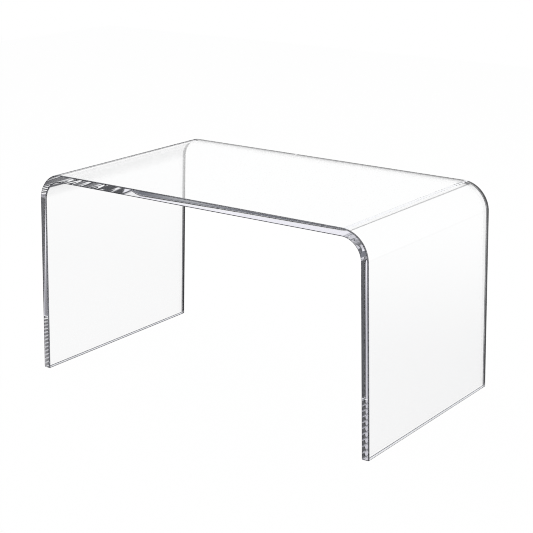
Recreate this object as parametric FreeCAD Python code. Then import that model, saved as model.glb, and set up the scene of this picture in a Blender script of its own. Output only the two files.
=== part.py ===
import FreeCAD, Part
import math
import os

# A clear waterfall coffee table: one thick acrylic sheet, heat-bent twice, on four stick-on pads.
# Millimetres and degrees. +X runs along the table, -Y is its front, +Z is up.
# The origin is on the floor, under the middle of the top.

# Sheet, cut square all round before it is bent
base_length = 770.0         # between the outer faces of the legs, at their cut ends
table_depth = 430.0
table_height = 406.0        # floor to upper face
sheet_thickness = 15.0
bend_inner_radius = 40.0    # radius of the former that the warm sheet is bent over
leg_splay = 1.75            # how far each leg leans out from upright, in degrees
arris_radius = 2.0          # polished rounding along every cut edge

# Pads
pad_thickness = 1.0         # under the middle of a leg's end
pad_edge_margin = 1.5       # bare flat left between a pad and the rounding of the leg's end
pad_corner_inset = 30.0     # from the front or rear edge to the middle of a pad
pad_side_draft = 0.3        # how much smaller a pad is at the floor, on the radius
pad_rim_rounding = 0.25     # at the rim of the floor face

# What follows from them
splay = math.radians(leg_splay)
bend_turn = math.pi / 2 - splay
bend_outer_radius = bend_inner_radius + sheet_thickness
bend_middle_radius = bend_inner_radius + sheet_thickness / 2
bend_centre_z = table_height - bend_outer_radius
leg_straight = (bend_centre_z + bend_middle_radius * math.sin(splay) - pad_thickness) / math.cos(splay)
bend_centre_x = base_length / 2 - bend_outer_radius * math.cos(splay) - leg_straight * math.sin(splay)
front_y = -table_depth / 2

LEFT, RIGHT = -1, 1
FRONT, REAR = -1, 1


def bend_point(side, radius, turn):
    """A point on a bend, at a turn from the upward direction."""
    x = bend_centre_x + radius * math.sin(turn)
    z = bend_centre_z + radius * math.cos(turn)
    return FreeCAD.Vector(side * x, front_y, z)


def leg_end_point(side, radius):
    """The end of the leg face that runs on from the bend at this radius."""
    along_leg = FreeCAD.Vector(side * math.sin(splay), 0, -math.cos(splay))
    return bend_point(side, radius, bend_turn) + along_leg * leg_straight


def sheet_skin(radius):
    """One face of the sheet, seen from the front: leg, bend, top, bend, leg."""
    left_low, left_mid, left_high = (bend_point(LEFT, radius, t) for t in (bend_turn, bend_turn / 2, 0))
    right_high, right_mid, right_low = (bend_point(RIGHT, radius, t) for t in (0, bend_turn / 2, bend_turn))
    return [
        Part.LineSegment(leg_end_point(LEFT, radius), left_low),
        Part.Arc(left_low, left_mid, left_high),
        Part.LineSegment(left_high, right_high),
        Part.Arc(right_high, right_mid, right_low),
        Part.LineSegment(right_low, leg_end_point(RIGHT, radius)),
    ]


def is_bend_seam(edge):
    """True on the smooth lines across the sheet where a flat runs into a bend."""
    first, last = edge.firstVertex().Point, edge.lastVertex().Point
    runs_across = abs(last.y - first.y) > table_depth / 2
    return runs_across and first.z > bend_centre_z / 2


def make_sheet():
    ends = [
        Part.LineSegment(leg_end_point(side, bend_outer_radius), leg_end_point(side, bend_inner_radius))
        for side in (LEFT, RIGHT)
    ]
    outline = sheet_skin(bend_outer_radius) + sheet_skin(bend_inner_radius) + ends
    edges = Part.__sortEdges__([curve.toShape() for curve in outline])
    blank = Part.Face(Part.Wire(edges)).extrude(FreeCAD.Vector(0, table_depth, 0))
    cut_edges = [edge for edge in blank.Edges if not is_bend_seam(edge)]
    return blank.makeFillet(arris_radius, cut_edges)


def make_pad(sheet, side, end):
    """A thin disc that is level at the floor and squeezed to the slight slant of the leg's cut end."""
    flat_width = sheet_thickness - 2 * arris_radius
    seat_radius = flat_width / 2 - pad_edge_margin
    floor_radius = seat_radius - pad_side_draft
    slant_rise = sheet_thickness * math.sin(splay)
    disc = Part.makeCone(floor_radius, seat_radius, pad_thickness + slant_rise)
    rim = [edge for edge in disc.Edges if edge.BoundBox.ZMax < pad_thickness / 2]
    disc = disc.makeFillet(pad_rim_rounding, rim)
    middle_x = leg_end_point(side, bend_middle_radius).x
    middle_y = end * (table_depth / 2 - pad_corner_inset)
    disc.translate(FreeCAD.Vector(middle_x, middle_y, 0))
    return disc.cut(sheet)


bent_sheet = make_sheet()
nodes = {
    "bent_sheet": bent_sheet,
    "front_left_pad": make_pad(bent_sheet, LEFT, FRONT),
    "front_right_pad": make_pad(bent_sheet, RIGHT, FRONT),
    "rear_left_pad": make_pad(bent_sheet, LEFT, REAR),
    "rear_right_pad": make_pad(bent_sheet, RIGHT, REAR),
}

os.makedirs("parts", exist_ok=True)
for name, shape in nodes.items():
    shape.exportStep(f"parts/{name}.step")
    box = shape.optimalBoundingBox()
    corners = (box.XMin, box.YMin, box.ZMin, box.XMax, box.YMax, box.ZMax)
    print(name, shape.isValid(), len(shape.Solids), round(shape.Volume, 1), [round(c, 3) for c in corners])
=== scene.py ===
import bmesh
import bpy
from math import atan2, cos, pi, radians, sin, tan
from mathutils import Matrix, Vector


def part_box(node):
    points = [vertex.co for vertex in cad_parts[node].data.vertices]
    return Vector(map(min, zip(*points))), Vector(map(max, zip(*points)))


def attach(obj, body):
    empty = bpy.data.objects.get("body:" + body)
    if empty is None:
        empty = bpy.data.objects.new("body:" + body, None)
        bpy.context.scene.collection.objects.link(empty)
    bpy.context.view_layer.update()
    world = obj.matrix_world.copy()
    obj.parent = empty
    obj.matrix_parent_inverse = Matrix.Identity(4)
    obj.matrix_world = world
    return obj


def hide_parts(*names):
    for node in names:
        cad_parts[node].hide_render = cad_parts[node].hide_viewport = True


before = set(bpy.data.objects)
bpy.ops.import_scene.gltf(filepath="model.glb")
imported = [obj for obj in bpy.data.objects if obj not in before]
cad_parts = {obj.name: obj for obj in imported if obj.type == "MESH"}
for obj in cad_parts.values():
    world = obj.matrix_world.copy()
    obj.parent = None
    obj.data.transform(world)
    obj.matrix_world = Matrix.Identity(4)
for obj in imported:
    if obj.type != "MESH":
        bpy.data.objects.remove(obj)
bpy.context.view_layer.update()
print("frame loaded:", ", ".join(sorted(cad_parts)))

scene = bpy.context.scene
scene.view_settings.view_transform = "Standard"

# light runs along inside the sheet and mirrors many times before it leaves
lightBounces = 1000
scene.cycles.max_bounces = lightBounces
scene.cycles.glossy_bounces = lightBounces
scene.cycles.transmission_bounces = lightBounces
scene.cycles.transparent_max_bounces = lightBounces

pixelBlur = 1.0         # in pixels, so that the thin dark lines of clear sheet stay crisp
scene.cycles.filter_width = pixelBlur


# helpers for node trees: a value is a socket to link, or a number or colour to set

def addNode(tree, kind, **settings):
    node = tree.nodes.new(kind)
    for name, value in settings.items():
        setattr(node, name, value)
    return node


def feed(tree, socket, value):
    if isinstance(value, bpy.types.NodeSocket):
        tree.links.new(value, socket)
    else:
        socket.default_value = value


def addMath(tree, operation, *values):
    node = addNode(tree, "ShaderNodeMath", operation=operation)
    for socket, value in zip(node.inputs, values):
        feed(tree, socket, value)
    return node.outputs[0]


def times(tree, first, *others):
    for other in others:
        first = addMath(tree, "MULTIPLY", first, other)
    return first


def atLeast(tree, count, number):
    return addMath(tree, "GREATER_THAN", count, number - 0.5)       # counts are whole numbers


def fewerThan(tree, count, number):
    return addMath(tree, "LESS_THAN", count, number - 0.5)


# a smooth step from nothing at the first end to all at the second, which may be the lower one
def fade(tree, value, ends):
    node = addNode(tree, "ShaderNodeMapRange", interpolation_type="SMOOTHSTEP")
    node.inputs["From Min"].default_value = ends[0]
    node.inputs["From Max"].default_value = ends[1]
    feed(tree, node.inputs["Value"], value)
    return node.outputs["Result"]


# in over the first fade and out again over the second
def band(tree, value, fades):
    return addMath(tree, "SUBTRACT", fade(tree, value, fades[0]), fade(tree, value, fades[1]))


def spread(tree, value, reach):
    node = addNode(tree, "ShaderNodeMapRange")
    node.inputs["To Min"].default_value = reach[0]
    node.inputs["To Max"].default_value = reach[1]
    feed(tree, node.inputs["Value"], value)
    return node.outputs["Result"]


def mixValues(tree, kind, share, first, second):
    node = addNode(tree, "ShaderNodeMix", data_type=kind)
    feed(tree, node.inputs["Factor"], share)
    feed(tree, node.inputs["A"], first)
    feed(tree, node.inputs["B"], second)
    return node.outputs["Result"]


def mixColour(tree, share, first, second):
    return mixValues(tree, "RGBA", share, first, second)


def mixNumber(tree, share, first, second):
    return mixValues(tree, "FLOAT", share, first, second)


def mixShader(tree, share, first, second):
    node = addNode(tree, "ShaderNodeMixShader")
    for socket, value in zip(node.inputs, (share, first, second)):
        feed(tree, socket, value)
    return node.outputs[0]


def addNoise(tree, scale, detail):
    coords = addNode(tree, "ShaderNodeTexCoord")
    node = addNode(tree, "ShaderNodeTexNoise")
    node.inputs["Scale"].default_value = scale
    node.inputs["Detail"].default_value = detail
    feed(tree, node.inputs["Vector"], coords.outputs["Object"])
    return node.outputs["Fac"]


def addBump(tree, height, distance):
    node = addNode(tree, "ShaderNodeBump")
    node.inputs["Distance"].default_value = distance
    feed(tree, node.inputs["Height"], height)
    return node.outputs["Normal"]


def addClear(tree, finish, colour, gloss, normal):
    node = addNode(tree, "ShaderNodeBsdfPrincipled")
    node.inputs["IOR"].default_value = finish["refraction"]
    node.inputs["Transmission Weight"].default_value = finish["transmission"]
    feed(tree, node.inputs["Base Color"], colour)
    feed(tree, node.inputs["Roughness"], gloss)
    feed(tree, node.inputs["Normal"], normal)
    return node.outputs[0]


def newMaterial(name):
    material = bpy.data.materials.new(name)
    material.use_nodes = True
    material.node_tree.nodes.clear()
    return material, material.node_tree


def addOutput(tree, surface):
    output = addNode(tree, "ShaderNodeOutputMaterial")
    feed(tree, output.inputs["Surface"], surface)
    return output


# helpers for meshes

def newPiece(name, bm, material):
    mesh = bpy.data.meshes.new(name)
    bm.to_mesh(mesh)
    bm.free()
    mesh.materials.append(material)
    piece = bpy.data.objects.new(name, mesh)
    scene.collection.objects.link(piece)
    return piece


def onlyVerts(geom):
    return [part for part in geom if isinstance(part, bmesh.types.BMVert)]


def onlyEdges(geom):
    return [part for part in geom if isinstance(part, bmesh.types.BMEdge)]


def between(first, second, share):
    return first * (1 - share) + second * share


# clear cast acrylic

acrylic = {
    "refraction": 1.505,
    "transmission": 1.0,
    "bodyColour": (0.992, 0.994, 0.996, 1.0),
    "faintColour": (1.0, 1.0, 1.0, 1.0),
    "cloudScale": 6.0,                          # barely warmer and cooler patches
    "cloudDetail": 2.0,
    "paintedArrisShade": (0.03, 0.031, 0.035, 1.0),   # painted shade: arrises are tinted dark for light that has mirrored few times, in place of the dark lines a clear edge shows
    "faceRoughness": (0.0, 0.004),
    "edgeRoughness": (0.004, 0.012),
    "smearScale": 40.0,                         # wiping marks in the gloss
    "smearDetail": 4.0,
    "ripple": 0.00004,                          # slow waves of a cast sheet
    "rippleScale": 9.0,
    "rippleDetail": 0.0,
    "depthColour": (0.55, 0.6, 0.8, 1.0),       # long ways through the sheet turn faintly blue
    "depthDensity": 0.08,
    "shadowColour": (0.96, 0.97, 0.98, 1.0),
}


def makeAcrylic():
    material, tree = newMaterial("clearAcrylic")
    path = addNode(tree, "ShaderNodeLightPath")
    cut = addNode(tree, "ShaderNodeAttribute", attribute_name="cutEdge")
    arris = addNode(tree, "ShaderNodeAttribute", attribute_name="arris")

    cloud = addNoise(tree, acrylic["cloudScale"], acrylic["cloudDetail"])
    body = mixColour(tree, cloud, acrylic["bodyColour"], acrylic["faintColour"])
    # painted shade: an arris is painted dark while the light has mirrored fewer times than the count stored
    # on its faces
    paintedEdgeShade = addMath(tree, "LESS_THAN", path.outputs["Glossy Depth"], arris.outputs["Fac"])
    body = mixColour(tree, paintedEdgeShade, body, acrylic["paintedArrisShade"])

    smear = addNoise(tree, acrylic["smearScale"], acrylic["smearDetail"])
    faceGloss = spread(tree, smear, acrylic["faceRoughness"])
    edgeGloss = spread(tree, smear, acrylic["edgeRoughness"])
    gloss = mixNumber(tree, cut.outputs["Fac"], faceGloss, edgeGloss)

    ripple = addNoise(tree, acrylic["rippleScale"], acrylic["rippleDetail"])
    clear = addClear(tree, acrylic, body, gloss, addBump(tree, ripple, acrylic["ripple"]))

    # a clear sheet lets most of the lamp's light through to the floor
    letThrough = addNode(tree, "ShaderNodeBsdfTransparent")
    letThrough.inputs["Color"].default_value = acrylic["shadowColour"]
    output = addOutput(tree, mixShader(tree, path.outputs["Is Shadow Ray"], clear, letThrough.outputs[0]))

    depthTint = addNode(tree, "ShaderNodeVolumeAbsorption")
    depthTint.inputs["Color"].default_value = acrylic["depthColour"]
    depthTint.inputs["Density"].default_value = acrylic["depthDensity"]
    feed(tree, output.inputs["Volume"], depthTint.outputs[0])
    return material


# the bent sheet: leg, bend, top, bend, leg in one run

clearSheet = {
    "thickness": 0.015,
    "bendInnerRadius": 0.040,
    "bendSteps": 96,
    "bendDraw": 0.0006,             # how far the stretched outside of a bend draws in
    "legSplay": radians(1.75),
    "legSteps": 12,
    "topTilt": radians(1.0),        # how far out of square the front was cut, along the top
    "legTilt": radians(0.1),        # at the upper end of a leg
    "footTilt": radians(0.95),      # at its lower end
    "cutAngle": radians(60),        # only cuts have edges sharper than this
    "arris": 0.002,
    "arrisSegments": 6,
    "arrisShadeMirrors": 20,             # painted shade: light that has mirrored less often finds an arris painted dark
    "rearArrisShadeMirrors": 4,
    "flatWeight": 100,              # flats beside an arris keep their own normals
}


def makeSheet(material):
    low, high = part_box("bent_sheet")
    thickness = clearSheet["thickness"]
    innerRadius = clearSheet["bendInnerRadius"]
    outerRadius = innerRadius + thickness
    splay = clearSheet["legSplay"]
    bendTurn = pi / 2 - splay
    bendZ = high.z - outerRadius
    trim = clearSheet["arris"] * (cos(splay) + sin(splay) - 1)      # what rounding takes off a leg's corners
    straight = (bendZ + innerRadius * sin(splay) - low.z + trim) / cos(splay)
    footX = high.x + trim
    footZ = low.z - trim
    bendX = footX - outerRadius * cos(splay) - straight * sin(splay)
    bm = bmesh.new()

    def drawOn(edges, way):
        grown = bmesh.ops.extrude_edge_only(bm, edges=edges)["geom"]
        verts = onlyVerts(grown)
        bmesh.ops.translate(bm, verts=verts, vec=way)
        return verts + [edge for edge in onlyEdges(grown) if all(vert in verts for vert in edge.verts)]

    def bend(geom, centreX):
        bent = bmesh.ops.spin(bm, geom=geom, cent=(centreX, 0, bendZ), axis=(0, 1, 0), angle=bendTurn,
                              steps=clearSheet["bendSteps"], use_merge=False)
        return onlyEdges(bent["geom_last"])

    # the cut end of the left leg, drawn up, over and down along the side view
    inner = bm.verts.layers.float.new("inner")
    outerFoot = bm.verts.new((-footX, low.y, footZ + thickness * sin(splay)))
    innerFoot = bm.verts.new((-footX + thickness * cos(splay), low.y, footZ))
    innerFoot[inner] = 1.0
    stepX = straight * sin(splay) / clearSheet["legSteps"]
    stepZ = straight * cos(splay) / clearSheet["legSteps"]
    leg = [bm.edges.new((outerFoot, innerFoot))]
    for count in range(clearSheet["legSteps"]):
        leg = drawOn(onlyEdges(leg), (stepX, 0, stepZ))
    top = drawOn(bend(leg, -bendX), (2 * bendX, 0, 0))
    leg = bend(top, bendX)
    for count in range(clearSheet["legSteps"]):
        leg = drawOn(onlyEdges(leg), (stepX, 0, -stepZ))

    # the side view is now pulled to the table's depth
    side = bm.faces[:]
    pulled = bmesh.ops.extrude_face_region(bm, geom=side)["geom"]
    bmesh.ops.translate(bm, verts=onlyVerts(pulled), vec=(0, high.y - low.y, 0))
    bmesh.ops.recalc_face_normals(bm, faces=bm.faces[:])
    bm.normal_update()

    # the front was not cut quite square, and the stretched outside of a bend draws in
    for vert in [vert for vert in bm.verts if not vert[inner]]:
        turn = atan2(abs(vert.co.x) - bendX, vert.co.z - bendZ) / bendTurn
        turn = min(max(turn, 0), 1)                                 # 0 in the top, 1 in a leg
        down = max(0, (bendZ - vert.co.z) / (bendZ - low.z))        # 1 at the foot
        legTilt = between(clearSheet["legTilt"], clearSheet["footTilt"], down)
        tilt = between(clearSheet["topTilt"], legTilt, turn)
        drawn = clearSheet["bendDraw"] * sin(pi * turn) ** 2
        if vert.co.y < 0:
            vert.co.y += drawn + thickness * tan(tilt)
        else:
            vert.co.y -= drawn
    bm.verts.layers.float.remove(inner)

    # polished arrises along every cut
    cutMark = bm.faces.layers.float.new("cutEdge")
    arrisShadeMark = bm.faces.layers.float.new("arris")
    cuts = [edge for edge in bm.edges if edge.calc_face_angle() > clearSheet["cutAngle"]]
    rounded = bmesh.ops.bevel(bm, geom=cuts, offset=clearSheet["arris"], offset_type="OFFSET",
                              segments=clearSheet["arrisSegments"], profile=0.5, affect="EDGES", material=-1)
    bm.normal_update()
    # each arris face stores the mirror count below which it is painted dark, as painted shade
    for face in rounded["faces"]:
        atRear = face.calc_center_median().y > high.y - clearSheet["arris"]
        face[arrisShadeMark] = clearSheet["rearArrisShadeMirrors"] if atRear else clearSheet["arrisShadeMirrors"]
    for face in bm.faces:
        face.smooth = True
        atEnd = face.calc_center_median().z < low.z + clearSheet["arris"]
        atSide = abs(face.calc_center_median().y) > high.y - clearSheet["arris"]
        face[cutMark] = 1.0 if atEnd or atSide else 0.0

    sheet = newPiece("clearSheet", bm, material)
    flats = sheet.modifiers.new("flat faces", "WEIGHTED_NORMAL")
    flats.mode = "FACE_AREA"
    flats.weight = clearSheet["flatWeight"]
    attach(sheet, "root")
    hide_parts("bent_sheet")
    print("clear sheet:", len(sheet.data.polygons), "faces")


makeSheet(makeAcrylic())


# frosted stick-on pads

padFinish = {
    "refraction": 1.5,
    "transmission": 0.8,
    "clearColour": (0.86, 0.88, 0.88, 1.0),
    "milkColour": (0.74, 0.77, 0.78, 1.0),
    "roughness": (0.28, 0.45),
    "grain": 0.00003,
    "grainScale": 2500.0,
    "grainDetail": 2.0,
}


def makePadMaterial():
    material, tree = newMaterial("clearPad")
    grain = addNoise(tree, padFinish["grainScale"], padFinish["grainDetail"])
    milk = mixColour(tree, grain, padFinish["clearColour"], padFinish["milkColour"])
    gloss = spread(tree, grain, padFinish["roughness"])
    addOutput(tree, addClear(tree, padFinish, milk, gloss, addBump(tree, grain, padFinish["grain"])))
    return material


pad = {
    "names": {
        "frontLeftPad": "front_left_pad",
        "frontRightPad": "front_right_pad",
        "rearLeftPad": "rear_left_pad",
        "rearRightPad": "rear_right_pad",
    },
    "steps": 64,
    "seatGap": 0.00002,         # film of glue under the cut end
    "draft": 0.0003,            # how much smaller the floor face is, on the radius
    "rim": 0.00025,
    "rimSegments": 3,
    "dish": 0.0001,             # hollow of the floor face
    "dishShare": 0.7,           # of the radius
    "flatNormal": 0.99,         # faces with a steeper normal than this are flats
}


def makePad(name, node, material):
    low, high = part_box(node)
    middle = (low + high) / 2
    slant = tan(clearSheet["legSplay"]) * (1 if middle.x > 0 else -1)       # the leg's end rises outwards
    seatRadius = (high.x - low.x) / 2
    floorRadius = seatRadius - pad["draft"]
    seatZ = high.z - seatRadius * abs(slant) - pad["seatGap"]
    place = Matrix.Translation((middle.x, middle.y, (low.z + seatZ) / 2))
    bm = bmesh.new()
    bmesh.ops.create_cone(bm, cap_ends=True, segments=pad["steps"], radius1=floorRadius, radius2=seatRadius,
                          depth=seatZ - low.z, matrix=place)
    rim = [edge for edge in bm.edges if all(vert.co.z < middle.z for vert in edge.verts)]
    bmesh.ops.bevel(bm, geom=rim, offset=pad["rim"], offset_type="OFFSET", segments=pad["rimSegments"],
                    profile=0.5, affect="EDGES", material=-1)
    for vert in bm.verts:
        if vert.co.z > middle.z:
            vert.co.z += (vert.co.x - middle.x) * slant
    under = [face for face in bm.faces if face.normal.z < -pad["flatNormal"]]
    bmesh.ops.inset_region(bm, faces=under, thickness=seatRadius * (1 - pad["dishShare"]), depth=0)
    hollow = [vert for face in under for vert in face.verts]
    bmesh.ops.translate(bm, verts=hollow, vec=(0, 0, pad["dish"]))
    for face in bm.faces:
        face.smooth = abs(face.normal.z) < pad["flatNormal"]
    piece = newPiece(name, bm, material)
    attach(piece, "root")
    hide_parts(node)


padMaterial = makePadMaterial()
for padName, padNode in pad["names"].items():
    makePad(padName, padNode, padMaterial)
print("pads:", len(pad["names"]))


# the floor: white paper that mirrored light passes by

whiteFloor = {
    "size": 8.0,
    "drop": 0.00002,                            # just under the pads
    "paperColour": (0.8, 0.8, 0.8, 1.0),
    "glowColour": (1.0, 1.0, 1.0, 1.0),
    "glow": 0.98,                               # how far the seen floor is lifted to white
}


def makeFloor():
    material, tree = newMaterial("whiteFloor")
    path = addNode(tree, "ShaderNodeLightPath")
    paper = addNode(tree, "ShaderNodeBsdfDiffuse")
    paper.inputs["Color"].default_value = whiteFloor["paperColour"]
    glow = addNode(tree, "ShaderNodeEmission")
    glow.inputs["Color"].default_value = whiteFloor["glowColour"]
    away = addNode(tree, "ShaderNodeBsdfTransparent")
    scattered = atLeast(tree, path.outputs["Diffuse Depth"], 1)
    mirrored = atLeast(tree, path.outputs["Glossy Depth"], 1)
    surface = mixShader(tree, whiteFloor["glow"], paper.outputs[0], glow.outputs[0])
    surface = mixShader(tree, scattered, surface, paper.outputs[0])
    surface = mixShader(tree, mirrored, surface, away.outputs[0])
    addOutput(tree, surface)
    bm = bmesh.new()
    bmesh.ops.create_grid(bm, x_segments=1, y_segments=1, size=whiteFloor["size"] / 2,
                          matrix=Matrix.Translation((0, 0, -whiteFloor["drop"])))
    floor = newPiece("floor", bm, material)


# the studio, painted by direction on the unit sphere: x to the right, y to the rear, z up
# it is white for what is seen straight through, and has dim walls for what mirrors have turned aside

studio = {
    "white": (1.0, 1.0, 1.0, 1.0),
    "frontWall": (0.012, 0.012, 0.014, 1.0),    # the dark side of the room, behind the camera
    "frontFade": (0.15, -0.15),                 # y
    "manyMirrors": 4,                           # from here on light meets the walls
    "directLevel": 1.0,
    "scatteredLevel": 0.6,                      # what lights matt surfaces stays at a plain level
}

throughSky = {
    "farEdge": (0.1, 0.1, 0.11, 1.0),           # the thin dark rim of the room, level with the eye
    "farEdgeFades": ((-0.09, -0.05), (0.03, 0.06)),             # z
    "manyCrossings": 3,                         # hidden by a second sheet
}


def skyThrough(tree, ray):
    sky = throughSky
    inside = atLeast(tree, ray["crossings"], 1)
    oneSheet = fewerThan(tree, ray["crossings"], sky["manyCrossings"])
    farEdge = times(tree, band(tree, ray["z"], sky["farEdgeFades"]), inside, oneSheet)
    return mixColour(tree, farEdge, studio["white"], sky["farEdge"])


fewMirrorSky = {
    "farFloor": (0.58, 0.58, 0.59, 1.0),
    "farFloorFade": (-0.22, -0.33),             # z
    "nearFloor": (0.2, 0.2, 0.21, 1.0),
    "nearFloorFade": (-0.42, -0.48),            # z
    "screenFades": ((-0.19, -0.16), (0.10, 0.15)),              # z of a dark screen on the far left
    "screenSideFade": (-0.56, -0.60),           # x
    "screenUpperFade": (-0.06, -0.02),          # z, above which it shows on the outer faces alone
}


def skyAfterFew(tree, ray):
    sky = fewMirrorSky
    x = ray["x"]
    y = ray["y"]
    z = ray["z"]
    inside = atLeast(tree, ray["crossings"], 1)

    # white above, a grey floor that darkens downwards, and the dark front
    colour = mixColour(tree, fade(tree, z, sky["farFloorFade"]), studio["white"], sky["farFloor"])
    colour = mixColour(tree, fade(tree, z, sky["nearFloorFade"]), colour, sky["nearFloor"])
    front = times(tree, inside, fade(tree, y, studio["frontFade"]))
    colour = mixColour(tree, front, colour, studio["frontWall"])

    # the dark screen on the far left
    screen = times(tree, band(tree, z, sky["screenFades"]), fade(tree, x, sky["screenSideFade"]))
    hidden = times(tree, inside, fade(tree, z, sky["screenUpperFade"]))
    screen = times(tree, screen, addMath(tree, "SUBTRACT", 1.0, hidden))
    return mixColour(tree, screen, colour, studio["frontWall"])


manyMirrorSky = {
    "leftFade": (-0.10, -0.30),                 # x: the room is dim on the right and light on the left
    "dimWall": (0.05, 0.052, 0.06, 1.0),
    "lightWall": (0.58, 0.575, 0.63, 1.0),
    "horizon": (0.13, 0.138, 0.165, 1.0),
    "rightHorizon": (0.35, 0.345, 0.38, 1.0),   # lower right part of the horizon
    "rightHorizonFade": (0.25, 0.40),           # x
    "rightHorizonDrop": (-0.02, -0.08),         # z
    "lowFade": (-0.16, -0.21),                  # z: below it the walls begin again
    "brightWall": (0.9, 0.89, 0.95, 1.0),       # the light wall just under the horizon
    "brightFade": (-0.32, -0.28),               # z
    "lowRight": (0.35, 0.34, 0.38, 1.0),        # a paler strip low on the dim wall
    "lowRightSide": (0.45, 0.52),               # x
    "lowRightFades": ((-0.39, -0.42), (-0.48, -0.52)),          # z
    "highFades": ((0.27, 0.31), (0.42, 0.46)),  # z of the walls above the horizon
    "overheadFade": (0.44, 0.48),               # z of the light ceiling
    "ceilingFade": (0.32, 0.24),                # x to either side
    "farLeftWall": (0.22, 0.22, 0.245, 1.0),    # darker far left, above and below the horizon
    "farLeftFade": (-0.62, -0.66),              # x
    "farLeftHeight": (0.245, 0.29),             # z up or down
    "lateWall": (0.1, 0.1, 0.11, 1.0),          # what rising light meets after many more mirrors
    "lateMirrors": 14,
    "lateFade": (0.0, 0.1),                     # z
    "windowFade": (-0.64, -0.60),               # x of a white window in the light side
    "windowRearFade": (0.78, 0.70),             # y
    "windowFrontFade": (0.0, 0.1),              # y, unless it is overhead
    "trappedMirrors": 20,                       # by then light has crossed the whole sheet
}


def skyAfterMany(tree, ray):
    sky = manyMirrorSky
    x = ray["x"]
    y = ray["y"]
    z = ray["z"]
    left = fade(tree, x, sky["leftFade"])

    # a dim horizon, with walls above and below it that are light on the left
    lightSide = mixColour(tree, fade(tree, z, sky["brightFade"]), sky["lightWall"], sky["brightWall"])
    lowRight = times(tree, band(tree, z, sky["lowRightFades"]), fade(tree, x, sky["lowRightSide"]))
    dimSide = mixColour(tree, lowRight, sky["dimWall"], sky["lowRight"])
    lowWalls = mixColour(tree, left, dimSide, lightSide)
    highWalls = mixColour(tree, left, sky["dimWall"], sky["lightWall"])
    rightHorizon = times(tree, fade(tree, x, sky["rightHorizonFade"]), fade(tree, z, sky["rightHorizonDrop"]))
    colour = mixColour(tree, rightHorizon, sky["horizon"], sky["rightHorizon"])
    colour = mixColour(tree, fade(tree, z, sky["lowFade"]), colour, lowWalls)
    colour = mixColour(tree, band(tree, z, sky["highFades"]), colour, highWalls)

    # a light ceiling, and the dark parts of the room
    overhead = fade(tree, z, sky["overheadFade"])
    ceiling = times(tree, overhead, fade(tree, addMath(tree, "ABSOLUTE", x), sky["ceilingFade"]))
    colour = mixColour(tree, ceiling, colour, sky["lightWall"])
    farLeft = times(tree, fade(tree, x, sky["farLeftFade"]),
                    fade(tree, addMath(tree, "ABSOLUTE", z), sky["farLeftHeight"]))
    colour = mixColour(tree, farLeft, colour, sky["farLeftWall"])
    late = times(tree, fade(tree, z, sky["lateFade"]), atLeast(tree, ray["mirrors"], sky["lateMirrors"]))
    colour = mixColour(tree, late, colour, sky["lateWall"])
    colour = mixColour(tree, fade(tree, y, studio["frontFade"]), colour, studio["frontWall"])

    # a white window on the left, and white for light that has crossed the whole sheet
    window = times(tree, left, fade(tree, x, sky["windowFade"]), fade(tree, y, sky["windowRearFade"]))
    clearOfFront = addMath(tree, "MAXIMUM", fade(tree, y, sky["windowFrontFade"]), overhead)
    colour = mixColour(tree, times(tree, window, clearOfFront), colour, studio["white"])
    trapped = atLeast(tree, ray["mirrors"], sky["trappedMirrors"])
    return mixColour(tree, trapped, colour, studio["white"])


def makeSky():
    world = bpy.data.worlds.new("studioSky")
    world.use_nodes = True
    scene.world = world
    tree = world.node_tree
    tree.nodes.clear()
    path = addNode(tree, "ShaderNodeLightPath")
    coords = addNode(tree, "ShaderNodeTexCoord")
    way = addNode(tree, "ShaderNodeSeparateXYZ")
    feed(tree, way.inputs[0], coords.outputs["Generated"])
    ray = {
        "x": way.outputs["X"],
        "y": way.outputs["Y"],
        "z": way.outputs["Z"],
        "mirrors": path.outputs["Glossy Depth"],
        "crossings": path.outputs["Transmission Depth"],
    }
    turnedAside = atLeast(tree, ray["mirrors"], 1)
    often = atLeast(tree, ray["mirrors"], studio["manyMirrors"])
    colour = mixColour(tree, often, skyAfterFew(tree, ray), skyAfterMany(tree, ray))
    colour = mixColour(tree, turnedAside, skyThrough(tree, ray), colour)
    scattered = atLeast(tree, path.outputs["Diffuse Depth"], 1)
    background = addNode(tree, "ShaderNodeBackground")
    feed(tree, background.inputs["Color"], colour)
    feed(tree, background.inputs["Strength"],
         mixNumber(tree, scattered, studio["directLevel"], studio["scatteredLevel"]))
    output = addNode(tree, "ShaderNodeOutputWorld")
    feed(tree, output.inputs["Surface"], background.outputs[0])


makeFloor()
makeSky()
print("floor and sky ready")


# one soft lamp overhead

softBox = {
    "size": 2.6,
    "power": 60.0,
    "place": (-0.5, 0.3, 2.6),
}


def makeLamp():
    lamp = bpy.data.lights.new("softBox", "AREA")
    lamp.size = softBox["size"]
    lamp.energy = softBox["power"]
    holder = bpy.data.objects.new("softBox", lamp)
    holder.location = softBox["place"]
    holder.visible_glossy = False
    holder.visible_transmission = False
    holder.visible_camera = False
    scene.collection.objects.link(holder)


# the camera, to the right of the table's front

view = {
    "place": (1.5297, -2.1019, 1.0159),
    "heading": radians(35.819),     # to the left of straight on
    "dip": radians(16.835),
    "roll": radians(0.142),
    "lens": 94.633,
    "sensor": 36.0,
}


def makeCamera():
    lens = bpy.data.cameras.new("tableView")
    lens.lens = view["lens"]
    lens.sensor_width = view["sensor"]
    camera = bpy.data.objects.new("tableView", lens)
    turn = Matrix.Rotation(view["heading"], 4, "Z") @ Matrix.Rotation(pi / 2 - view["dip"], 4, "X")
    camera.matrix_world = Matrix.Translation(view["place"]) @ turn @ Matrix.Rotation(view["roll"], 4, "Z")
    scene.collection.objects.link(camera)
    scene.camera = camera


makeLamp()
makeCamera()
print("lamp and camera ready")
